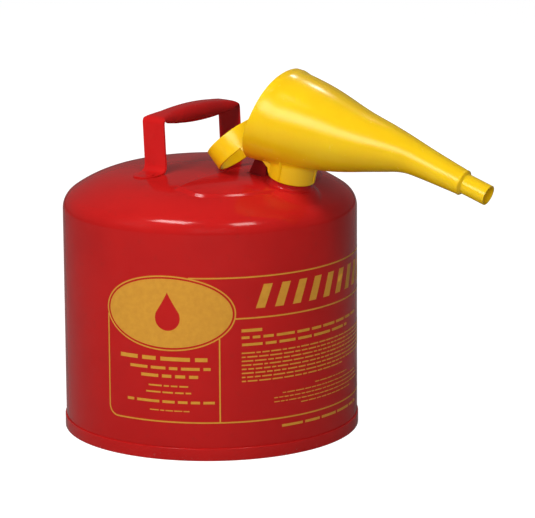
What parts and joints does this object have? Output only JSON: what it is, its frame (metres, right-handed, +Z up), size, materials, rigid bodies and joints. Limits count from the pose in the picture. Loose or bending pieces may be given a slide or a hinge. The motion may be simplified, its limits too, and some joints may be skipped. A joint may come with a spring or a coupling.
{
  "type": "safety gas can",
  "caption": "Round steel safety can for petrol with a strap handle, spring-closed lid, flame arrester and a swivelling pouring funnel.",
  "frame": {"origin": "centre of the tank's base, on the floor", "axes": "+Z up along the tank's axis, +X out over the spout, the way the can pours; the handle strap runs along Y"},
  "size_m": [0.509, 0.3176, 0.3991],
  "materials": {
    "tank_red": "gloss baked enamel, signal red",
    "handle_red": "gloss baked enamel, signal red",
    "bracket_red": "gloss baked enamel, signal red",
    "zinc_plate": "bright zinc plate",
    "screen_steel": "woven wire, dull",
    "spring_steel": "spring wire",
    "gasket_black": "matt black",
    "label_gold": "screen-printed ochre ink",
    "funnel_yellow": "glossy moulded polyethylene"
  },
  "bodies": {
    "can": {"body_shell": "tank_red", "bottom_pan": "tank_red", "handle": "handle_red", "spout_neck": "tank_red", "arrester_ring": "zinc_plate", "arrester_inner_screen": "screen_steel", "arrester_outer_screen": "screen_steel", "arrester_cap": "zinc_plate", "hinge_bracket": "bracket_red", "hinge_pin": "zinc_plate", "pin_clips": "zinc_plate"},
    "lid": {"lid_disc": "bracket_red", "lid_gasket": "gasket_black", "gasket_plate": "zinc_plate", "lid_rivet": "zinc_plate", "lid_arm": "bracket_red", "lid_spring": "spring_steel"},
    "funnel": {"funnel_cone": "funnel_yellow", "funnel_nozzle": "funnel_yellow", "funnel_collar": "funnel_yellow", "funnel_hoop": "funnel_yellow"}
  },
  "joints": [
    {"name": "lid_hinge", "type": "hinge", "parent": "can", "child": "lid", "pos_m": [0.08513, 0, 0.31225], "axis": [0, -1, 0], "range_deg": [0, 65], "stiffness_Nm_per_rad": 0.35, "springref_deg": -34.38},
    {"name": "funnel_swivel", "type": "hinge", "parent": "can", "child": "funnel", "pos_m": [0.1129, 0, 0.2737], "axis": [0.2334, 0, 0.9724], "range_deg": [-20, 2]}
  ]
}
